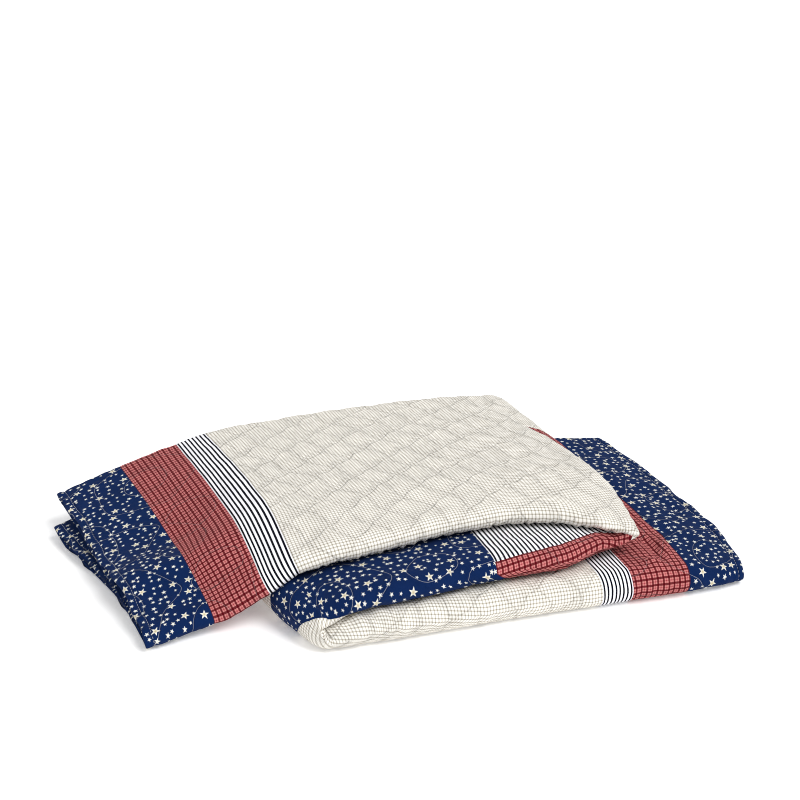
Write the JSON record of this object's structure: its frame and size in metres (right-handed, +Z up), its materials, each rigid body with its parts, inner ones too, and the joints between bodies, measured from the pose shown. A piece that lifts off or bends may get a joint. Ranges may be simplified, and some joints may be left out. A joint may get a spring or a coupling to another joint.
{
  "type": "folded star quilt",
  "caption": "Pieced bed quilt with a large star, folded lengthwise and laid back and forth in a Z, its free top end draped to the surface.",
  "frame": {"origin": "on the resting surface, under the middle of the folded quilt", "axes": "+X to the right along the folds' front edges, +Y to the back, +Z up"},
  "size_m": [1.0558, 0.6598, 0.1441],
  "materials": {
    "quilted_cotton": "washed printed cotton, pieced and quilted over thin batting, matt and puckered along the stitches"
  },
  "bodies": {
    "root": {"quilt": "quilted_cotton"}
  },
  "joints": []
}
